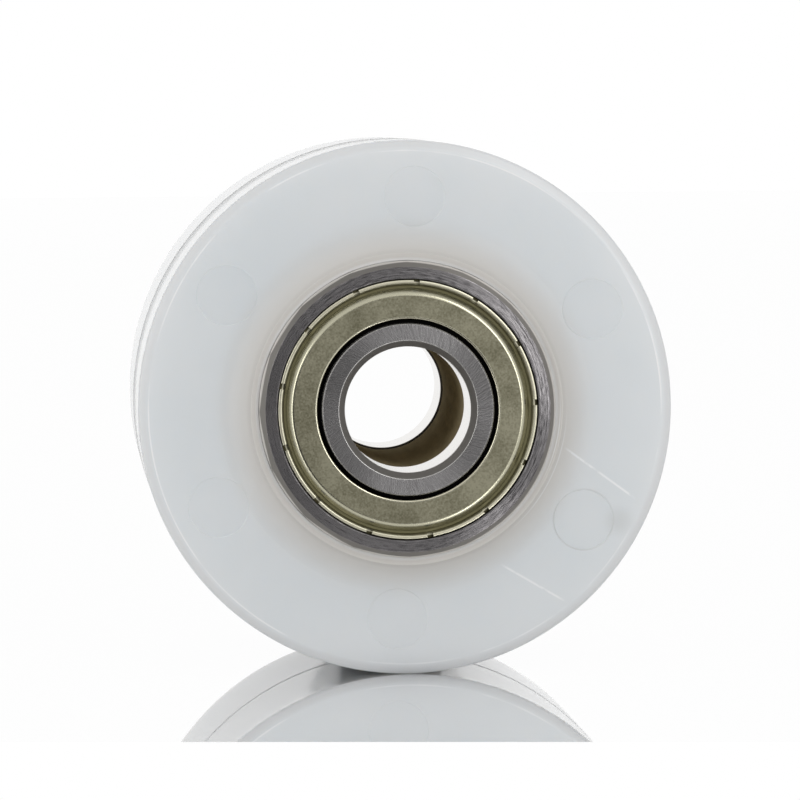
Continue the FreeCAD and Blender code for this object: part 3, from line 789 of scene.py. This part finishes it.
def burr_mask(tree, place, edge, reach, sides):
    """1 on a ring's edge where the flats of the lip round it have shaved nylon over it, 0 elsewhere."""
    axes = add_node(tree, "ShaderNodeSeparateXYZ", {0: place}).outputs
    part = add_node(tree, "ShaderNodeMath", {
        0: turn_of(tree, place), 1: sides / (2 * math.pi)}, operation="MULTIPLY")
    wave = add_node(tree, "ShaderNodeMath", {0: part.outputs[0], 1: 0.5}, operation="PINGPONG").outputs[0]
    corner = ramps(tree, [(wave, 0.5, 0.0)])
    # The tool leaned to one side, so the corners fade towards the other.
    lean = add_node(tree, "ShaderNodeMapRange", {
        "Value": axes["X"], "From Min": -edge, "From Max": edge,
        "To Min": edge, "To Max": edge - reach})
    bound = add_node(tree, "ShaderNodeMapRange", {
        "Value": product(tree, [corner, corner]), "To Min": edge - reach, "To Max": lean.outputs[0]})
    past = add_node(tree, "ShaderNodeMath", {
        0: radius_of(tree, place), 1: bound.outputs[0]}, operation="SUBTRACT")
    return band_mask(tree, past.outputs[0], 0.0, 1.0, 0.12 * MM)


def ground_steel(name, tones, lines, roughness, spread, zones, burr=None):
    """Hardened chrome steel, ground to size; lines gives round_the_axle's repeats and twists."""
    # Grey metal whose fine grinding lines break its reflections into streaks and spread them across the
    # lines; the real lines are a few hundredths of a millimetre apart and are drawn wider so that they show.
    material, tree, place = new_material(name)
    radial, angular, twists = lines
    streaks = [add_node(tree, "ShaderNodeTexNoise", {
        "Vector": round_the_axle(tree, place, radial, angular, twist), "Scale": 1.0, "Detail": 3.0,
        "Roughness": 0.6}).outputs[0] for twist in twists]
    marks = add_node(tree, "ShaderNodeMath", {0: streaks[0], 1: streaks[1]}, operation="ADD")
    share = add_node(tree, "ShaderNodeMapRange", {
        "Value": marks.outputs[0], "From Min": 0.75, "From Max": 1.25})
    shade = add_node(tree, "ShaderNodeMix", {
        0: share.outputs[0], 6: tones[0], 7: tones[1]}, data_type="RGBA")
    polish = add_node(tree, "ShaderNodeMapRange", {
        "Value": share.outputs[0], "To Min": roughness + 0.08, "To Max": roughness - 0.05})
    shade, polish = zoned(tree, radius_of(tree, place), shade.outputs[2], polish.outputs[0], zones)
    if burr:
        edge, reach, sides, tone = burr
        mask = burr_mask(tree, place, edge, reach, sides)
        shade = add_node(tree, "ShaderNodeMix", {0: mask, 6: shade, 7: tone}, data_type="RGBA").outputs[2]
        polish = add_node(tree, "ShaderNodeMix", {0: mask, 2: polish, 3: BURR_ROUGHNESS}).outputs[0]
    bump = add_node(tree, "ShaderNodeBump", {
        "Height": marks.outputs[0], "Strength": 0.25, "Distance": 0.02 * MM})
    grain = add_node(tree, "ShaderNodeTangent", direction_type="RADIAL", axis="Y")
    end_material(tree, add_node(tree, "ShaderNodeBsdfPrincipled", {
        "Base Color": shade, "Metallic": 1.0, "Roughness": polish, "Normal": bump.outputs[0],
        "Anisotropic": 0.9, "Anisotropic Rotation": spread, "Tangent": grain.outputs[0]}))
    return material


def passivated_zinc(tint, bearing):
    """Pressed sheet steel, zinc plated and yellow passivated."""
    # Olive gold metal with a fine matt grain and patches that turn greener; painted highlights lighten its
    # rolled edges and bead and painted shade darkens its channel.
    material, tree, place = new_material("sheet steel, zinc plated, yellow passivated")
    patches = add_node(tree, "ShaderNodeTexNoise", {"Vector": place, "Scale": 1 / (5 * MM), "Detail": 3.0})
    # The crystals of the plate are under 0.05 mm; they are drawn at 0.3 mm so that they show.
    grain = add_node(tree, "ShaderNodeTexNoise", {"Vector": place, "Scale": 1 / (0.3 * MM), "Detail": 2.0})
    mixed = add_node(tree, "ShaderNodeMath", {0: patches.outputs[0], 1: grain.outputs[0]}, operation="ADD")
    share = add_node(tree, "ShaderNodeMapRange", {
        "Value": mixed.outputs[0], "From Min": 0.7, "From Max": 1.25})
    shade = add_node(tree, "ShaderNodeMix", {
        0: share.outputs[0], 6: tint.zinc_olive, 7: tint.zinc_yellow}, data_type="RGBA")
    matt = add_node(tree, "ShaderNodeMapRange", {"Value": grain.outputs[0], "To Min": 0.34, "To Max": 0.5})
    seat = RING_HIGH.x - bearing.outer_face
    foot = seat - bearing.rim_width
    channel = foot - bearing.channel_width
    web_edge = channel - bearing.step_run
    radius = radius_of(tree, place)
    shade, polish = zoned(tree, radius, shade.outputs[2], matt.outputs[0], [
        # Painted highlight on the rolled inner edge.
        (0.0, INNER_RING_HIGH.x + 0.4 * MM, tint.zinc_edge_highlight, 0.2),
        # Painted highlight on the bead.
        (web_edge - 0.3 * MM, channel, tint.zinc_bead_highlight, 0.22),
        # Painted shade in the channel.
        (channel - 0.1 * MM, foot + 0.05 * MM, tint.zinc_shade, 0.6),
        # Painted highlight on the rim crest.
        (seat - 0.65 * MM, seat, tint.zinc_edge_highlight, 0.32),
    ])
    axes = add_node(tree, "ShaderNodeSeparateXYZ", {0: place}).outputs
    level = add_node(tree, "ShaderNodeMath", {0: axes["Y"]}, operation="ABSOLUTE").outputs[0]
    notch = product(tree, [
        band_mask(tree, level, 0.0, RING_HIGH.y - bearing.channel_depth + 0.1 * MM, 0.1 * MM),
        band_mask(tree, radius, seat - 0.45 * MM, 1.0, 0.15 * MM)])
    shade = add_node(tree, "ShaderNodeMix", {
        0: notch, 6: shade, 7: tint.zinc_notch}, data_type="RGBA").outputs[2]
    bump = add_node(tree, "ShaderNodeBump", {
        "Height": grain.outputs[0], "Strength": 0.18, "Distance": 0.02 * MM})
    end_material(tree, add_node(tree, "ShaderNodeBsdfPrincipled", {
        "Base Color": shade, "Metallic": 1.0, "Roughness": polish, "Normal": bump.outputs[0]}))
    return material


def browned_tube(tint):
    """Drawn steel tube, oil browned."""
    # A dull tan skin that reflects next to nothing, with soft lengthwise streaks from drawing.
    material, tree, place = new_material("drawn steel tube, oil browned")
    stretched = add_node(tree, "ShaderNodeMapping", {"Vector": place, "Scale": (1, 0.12, 1)})
    streaks = add_node(tree, "ShaderNodeTexNoise", {
        "Vector": stretched.outputs[0], "Scale": 1 / (2 * MM), "Detail": 3.0})
    shade = add_node(tree, "ShaderNodeMix", {
        0: streaks.outputs[0], 6: tint.spacer_dark, 7: tint.spacer_brown}, data_type="RGBA")
    bump = add_node(tree, "ShaderNodeBump", {
        "Height": streaks.outputs[0], "Strength": 0.2, "Distance": 0.03 * MM})
    end_material(tree, add_node(tree, "ShaderNodeBsdfPrincipled", {
        "Base Color": shade.outputs[2], "Roughness": 0.8, "Specular IOR Level": 0.0,
        "Normal": bump.outputs[0]}))
    return material


def polished_ball(tint):
    """Chrome steel balls, lapped and polished."""
    # A mirror with the faintest lapping haze.
    material, tree, place = new_material("chrome steel, lapped and polished")
    haze = add_node(tree, "ShaderNodeTexNoise", {"Vector": place, "Scale": 1 / (0.4 * MM), "Detail": 2.0})
    polish = add_node(tree, "ShaderNodeMapRange", {"Value": haze.outputs[0], "To Min": 0.04, "To Max": 0.12})
    end_material(tree, add_node(tree, "ShaderNodeBsdfPrincipled", {
        "Base Color": tint.ball_steel, "Metallic": 1.0, "Roughness": polish.outputs[0]}))
    return material


def pressed_sheet(tint):
    """Bright cold-rolled steel, pressed."""
    # Greyish metal with a soft rolled texture from the sheet.
    material, tree, place = new_material("cold-rolled steel, pressed")
    rolled = add_node(tree, "ShaderNodeTexNoise", {"Vector": place, "Scale": 1 / (0.8 * MM), "Detail": 3.0})
    matt = add_node(tree, "ShaderNodeMapRange", {"Value": rolled.outputs[0], "To Min": 0.28, "To Max": 0.45})
    bump = add_node(tree, "ShaderNodeBump", {
        "Height": rolled.outputs[0], "Strength": 0.15, "Distance": 0.02 * MM})
    end_material(tree, add_node(tree, "ShaderNodeBsdfPrincipled", {
        "Base Color": tint.cage_steel, "Metallic": 1.0, "Roughness": matt.outputs[0],
        "Normal": bump.outputs[0]}))
    return material


# Operators


def finish_piece(piece, body, node):
    """Let a piece ride on its body in place of a CAD node."""
    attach(piece, body)
    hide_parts(node)


def dress_nodes(nodes, material):
    """Give CAD nodes that keep their meshes a finish."""
    for node in nodes:
        mesh = frame["nodes"][node].data
        mesh.materials.clear()
        mesh.materials.append(material)


class TROLLEY_OT_nylon_wheel(bpy.types.Operator):
    """Build the moulded nylon wheel"""
    bl_idname = "trolley.nylon_wheel"
    bl_label = "Nylon Wheel"

    def execute(self, context):
        nylon = context.scene.trolley_nylon
        outline = outline_mesh("wheel_outline", wheel_outline(nylon))
        face = WHEEL_HIGH.y - nylon.boss_height
        floor = nylon.mark_diameter / 2 - nylon.mark_wall
        height = nylon.mark_depth + nylon.boss_height / 4
        sizes = {
            "Segments": WHEEL_SEGMENTS, "Mark Count": nylon.mark_count, "Mark Circle": nylon.mark_circle / 2,
            "Mark Floor": floor, "Mark Mouth": floor + height * nylon.mark_wall / nylon.mark_depth,
            "Mark Height": height, "Mark Level": face - nylon.mark_depth,
            "Mark Turn": (0, 0, nylon.mark_turn),
            "Material": moulded_nylon(context.scene.trolley_finish, nylon)}
        piece = grown_piece("wheel_moulding", outline, marked_wheel_tree(), sizes,
                            reshape=lambda shell: flatten_lip(shell, nylon))
        finish_piece(piece, "wheel", "wheel_body")
        return {"FINISHED"}


class TROLLEY_OT_bearing_rings(bpy.types.Operator):
    """Build the outer and inner rings of both bearings"""
    bl_idname = "trolley.bearing_rings"
    bl_label = "Bearing Rings"

    def execute(self, context):
        bearing, tint = context.scene.trolley_bearing, context.scene.trolley_finish
        tree = turned_tree()
        outside, land = RING_HIGH.x, INNER_RING_HIGH.x - bearing.land_step
        chamfer = BORE + bearing.bore_chamfer
        burr = (outside, bearing.burr_reach, context.scene.trolley_nylon.lip_sides, tint.nylon_burr)
        rings = {
            "outer_ring": ("wheel", outer_ring_corners(bearing), ground_steel(
                "chrome steel, ground round the ring", (tint.ground_shade, tint.ground_steel), ROUND_LINES,
                roughness=0.24, spread=0.25, zones=[
                    # Painted shade, with some grease, inside the ring's mouth in the gap round the shield.
                    (0.0, outside - bearing.outer_face + 0.04 * MM, tint.gap_shade_and_grease, 0.6),
                    # Chamfer, hardened and darker still as a painted dark reflection.
                    (outside - bearing.ring_chamfer, 2 * outside, tint.hard_steel_dark_reflection, 0.5)], burr=burr)),
            "inner_ring": ("axle_core", inner_ring_corners(bearing), ground_steel(
                "chrome steel, ground across the ring", (tint.land_shade, tint.land_steel), CROSS_LINES,
                roughness=0.25, spread=0.09, zones=[
                    (0.0, BORE + 0.06 * MM, tint.bore_steel, 0.14),
                    # Bore chamfer, hardened and darker still as a painted dark reflection.
                    (BORE + 0.06 * MM, chamfer, tint.hard_steel_dark_reflection, 0.6),
                    # Painted highlights: light lines on the bore chamfer's edge and on the land's edge.
                    (chamfer - 0.05 * MM, chamfer + 0.1 * MM, tint.edge_highlight_steel, 0.2),
                    (land - 0.12 * MM, land + 0.03 * MM, tint.edge_highlight_steel, 0.2),
                    # Painted shade, with some grease, on the shoulder and race under the shield.
                    (land + 0.03 * MM, 2 * land, tint.gap_shade_and_grease, 0.6)])),
        }
        for end, side in ENDS.items():
            for ring, (body, corners, material) in rings.items():
                name = f"{end}_{ring}"
                outline = outline_mesh(name + "_outline", rounded_outline(corners))
                piece = grown_piece(name + "_ground", outline, tree,
                                    {"Segments": RING_SEGMENTS, "Material": material},
                                    Matrix.Translation((0, side * RING_MIDDLE, 0)))
                finish_piece(piece, body, name)
        return {"FINISHED"}


class TROLLEY_OT_shields(bpy.types.Operator):
    """Build the notched shields that close both bearings and finish the two hidden ones"""
    bl_idname = "trolley.shields"
    bl_label = "Notched Shields"

    def execute(self, context):
        bearing = context.scene.trolley_bearing
        material = passivated_zinc(context.scene.trolley_finish, bearing)
        tree = notched_shield_tree()
        sizes = {"Notches": bearing.notch_count, "Step": 2 * math.pi / bearing.notch_count,
                 "Material": material}
        facing_front = Matrix.Rotation(bearing.shield_turn, 4, "Y") @ Matrix.Rotation(math.pi, 4, "Z")
        for end, side in ENDS.items():
            facing = facing_front if side < 0 else Matrix.Identity(4)
            placed = Matrix.Translation((0, side * RING_MIDDLE, 0)) @ facing
            name = f"{end}_outer_shield"
            piece = grown_piece(name + "_pressing", shield_sector(bearing), tree, sizes, placed)
            finish_piece(piece, "wheel", name)
            dress_nodes([f"{end}_inner_shield"], material)
        return {"FINISHED"}


class TROLLEY_OT_spacer(bpy.types.Operator):
    """Build the spacer sleeve between the inner rings"""
    bl_idname = "trolley.spacer"
    bl_label = "Spacer Sleeve"

    def execute(self, context):
        inside = BORE + context.scene.trolley_bearing.spacer_relief
        corners = mirrored([(inside, SPACER_HIGH.y, 0.15 * MM), (SPACER_HIGH.x, SPACER_HIGH.y, 0.15 * MM)])
        outline = outline_mesh("spacer_outline", rounded_outline(corners))
        piece = grown_piece("spacer_tube", outline, turned_tree(), {
            "Segments": SLEEVE_SEGMENTS, "Material": browned_tube(context.scene.trolley_finish)})
        finish_piece(piece, "axle_core", "spacer_sleeve")
        return {"FINISHED"}


class TROLLEY_OT_ball_trains(bpy.types.Operator):
    """Finish the balls, the cages and their rivets, which the shields hide"""
    bl_idname = "trolley.ball_trains"
    bl_label = "Ball Trains"

    def execute(self, context):
        tint = context.scene.trolley_finish
        dress_nodes([node for node in frame["nodes"] if "_ball_" in node], polished_ball(tint))
        dress_nodes([node for node in frame["nodes"] if "_cage_" in node], pressed_sheet(tint))
        return {"FINISHED"}


# Stage

# Camera found from the circles of the rings, face and tread in the photograph
CAMERA_PLACE = Vector((-59.7, -788.8, 49.0)) * MM
CAMERA_AIM = Vector((1.4, 0.0, -0.6)) * MM
CAMERA_ROLL = -0.0121
CAMERA_CLIP = (0.01, 100.0)
SENSOR = 36.0
PHOTO_SIZE = 800
PHOTO_FLOOR_END = 742
# Card in front of the wheel, low enough that the floor mirrors it in no view from above
CARD_CORNERS = [(-1.1, -1.3, -0.9), (0.36, -1.3, -0.9), (0.08, -1.3, 0.15), (-1.1, -1.3, 0.15)]
# Floor from the photograph's near edge: how far it reaches to each side and back, and its matt share
FLOOR_SIDE = 3.0
FLOOR_BACK = 4.0
FLOOR_MATT = 0.03
# Softboxes: the place of each, and its width and height
SOFTBOXES = {
    "left": ((-0.62, -0.75, 0.02), (0.2, 0.7)),
    "right": ((0.34, -0.86, 0.26), (0.16, 0.7)),
}


def stage_sheet(name, corners, material):
    """Flat sheet of the stage."""
    mesh = bpy.data.meshes.new(name)
    mesh.from_pydata(corners, [], [range(len(corners))])
    sheet = bpy.data.objects.new(name, mesh)
    sheet.data.materials.append(material)
    bpy.context.scene.collection.objects.link(sheet)
    return sheet


def softbox(name, place, size, power):
    """Tall lamp, width by height, that faces the wheel."""
    lamp = bpy.data.lights.new(name, "AREA")
    lamp.shape, lamp.energy = "RECTANGLE", power
    lamp.size, lamp.size_y = size
    holder = bpy.data.objects.new(name, lamp)
    holder.location = place
    holder.rotation_euler = (-Vector(place)).to_track_quat("-Z", "Y").to_euler()
    bpy.context.scene.collection.objects.link(holder)


def gloss_floor(tint):
    """Pale gloss board that mirrors the wheel and keeps a soft shadow."""
    material, tree, place = new_material("gloss white board")
    haze = add_node(tree, "ShaderNodeTexNoise", {"Vector": place, "Scale": 1 / (60 * MM), "Detail": 2.0})
    blur = add_node(tree, "ShaderNodeMapRange", {"Value": haze.outputs[0], "To Min": 0.01, "To Max": 0.03})
    mirror = add_node(tree, "ShaderNodeBsdfGlossy", {"Color": tint.floor, "Roughness": blur.outputs[0]})
    matt = add_node(tree, "ShaderNodeBsdfDiffuse", {"Color": tint.floor})
    end_material(tree, add_node(tree, "ShaderNodeMixShader", {
        0: FLOOR_MATT, 1: mirror.outputs[0], 2: matt.outputs[0]}))
    return material


def dark_card(brightness):
    """Card that the steel facing the camera mirrors."""
    material, tree, _ = new_material("dark studio card")
    end_material(tree, add_node(tree, "ShaderNodeEmission", {"Strength": brightness}))
    return material


def white_room(studio):
    """White all round for the camera and for mirrors, and even light for the rest."""
    world = bpy.data.worlds.new("white room")
    world.use_nodes = True
    tree = world.node_tree
    tree.nodes.clear()
    rays = add_node(tree, "ShaderNodeLightPath").outputs
    seen = add_node(tree, "ShaderNodeMath", {0: rays["Is Camera Ray"], 1: rays["Is Glossy Ray"]},
                    operation="MAXIMUM")
    shown = add_node(tree, "ShaderNodeMath", {0: seen.outputs[0], 1: rays["Is Transmission Ray"]},
                     operation="MAXIMUM")
    # Past a matt surface the room gives its even light to mirrors too.
    mirrored_once = add_node(tree, "ShaderNodeMath", {0: rays["Diffuse Depth"], 1: 0.5},
                             operation="LESS_THAN")
    bright = add_node(tree, "ShaderNodeMath", {0: shown.outputs[0], 1: mirrored_once.outputs[0]},
                      operation="MULTIPLY")
    strength = add_node(tree, "ShaderNodeMapRange", {
        "Value": bright.outputs[0], "To Min": studio.sky, "To Max": 1.0})
    white = add_node(tree, "ShaderNodeBackground", {
        "Color": (1, 1, 1, 1), "Strength": strength.outputs[0]})
    add_node(tree, "ShaderNodeOutputWorld", {"Surface": white.outputs[0]})
    bpy.context.scene.world = world


def photo_camera(lens):
    """Camera at the photograph's angle."""
    camera = bpy.data.objects.new("photo_camera", bpy.data.cameras.new("photo_camera"))
    camera.data.lens, camera.data.sensor_width = lens, SENSOR
    camera.data.clip_start, camera.data.clip_end = CAMERA_CLIP
    camera.location = CAMERA_PLACE
    camera.rotation_mode = "QUATERNION"
    aimed = (CAMERA_AIM - CAMERA_PLACE).to_track_quat("-Z", "Y")
    camera.rotation_quaternion = aimed @ Quaternion((0, 0, 1), CAMERA_ROLL)
    bpy.context.scene.collection.objects.link(camera)
    bpy.context.scene.camera = camera
    return camera


def floor_point(camera, column, row, level):
    """Point of the floor that a pixel of the photograph shows."""
    focal = camera.data.lens / SENSOR * PHOTO_SIZE
    ray = camera.rotation_quaternion @ Vector(
        (column - PHOTO_SIZE / 2, PHOTO_SIZE / 2 - row, -focal))
    return camera.location + ray * ((level - camera.location.z) / ray.z)


class TROLLEY_OT_studio(bpy.types.Operator):
    """Set the camera, the soft light, the gloss floor and the dark card"""
    bl_idname = "trolley.studio"
    bl_label = "Studio"

    def execute(self, context):
        studio = context.scene.trolley_studio
        context.scene.view_settings.view_transform = "Standard"
        camera = photo_camera(studio.lens)
        white_room(studio)
        floor = CAD_BOX[0].z
        near = [floor_point(camera, column, PHOTO_FLOOR_END, floor) for column in (0, PHOTO_SIZE)]
        side = (near[1] - near[0]).normalized() * FLOOR_SIDE
        far = Vector((0, FLOOR_BACK, 0))
        corners = [near[0] - side, near[1] + side, near[1] + side + far, near[0] - side + far]
        stage_sheet("floor", corners, gloss_floor(context.scene.trolley_finish))
        card = stage_sheet("dark_card", CARD_CORNERS, dark_card(studio.card))
        card.visible_camera = card.visible_diffuse = card.visible_shadow = False
        for name, (place, size) in SOFTBOXES.items():
            softbox(f"{name}_softbox", place, size, getattr(studio, name))
        return {"FINISHED"}


class TROLLEY_PT_panel(bpy.types.Panel):
    """Buttons for each step, in order"""
    bl_idname = "TROLLEY_PT_panel"
    bl_label = "Trolley Wheel"
    bl_space_type = "VIEW_3D"
    bl_region_type = "UI"
    bl_category = "Trolley Wheel"

    def draw(self, context):
        for step in STEPS:
            self.layout.operator(step.bl_idname)
        for name in GROUPS:
            group = getattr(context.scene, name)
            for field in group.bl_rna.properties:
                if field.identifier not in ("rna_type", "name"):
                    self.layout.prop(group, field.identifier)


GROUPS = {
    "trolley_nylon": NylonSizes,
    "trolley_bearing": BearingSizes,
    "trolley_finish": FinishColours,
    "trolley_studio": StudioSettings,
}
STEPS = (TROLLEY_OT_nylon_wheel, TROLLEY_OT_bearing_rings, TROLLEY_OT_shields, TROLLEY_OT_spacer,
         TROLLEY_OT_ball_trains, TROLLEY_OT_studio)


def register():
    """Register the classes and put the settings on the scene."""
    for item in (*GROUPS.values(), *STEPS, TROLLEY_PT_panel):
        bpy.utils.register_class(item)
    for name, group in GROUPS.items():
        setattr(bpy.types.Scene, name, PointerProperty(type=group))


def unregister():
    """Take the settings and the classes away again."""
    for name in GROUPS:
        delattr(bpy.types.Scene, name)
    for item in (TROLLEY_PT_panel, *STEPS, *GROUPS.values()):
        bpy.utils.unregister_class(item)


def main():
    """Register the add-on, then build every piece and the stage."""
    register()
    for step in STEPS:
        group, operator = step.bl_idname.split(".")
        getattr(getattr(bpy.ops, group), operator)()


if __name__ == "__main__":
    main()
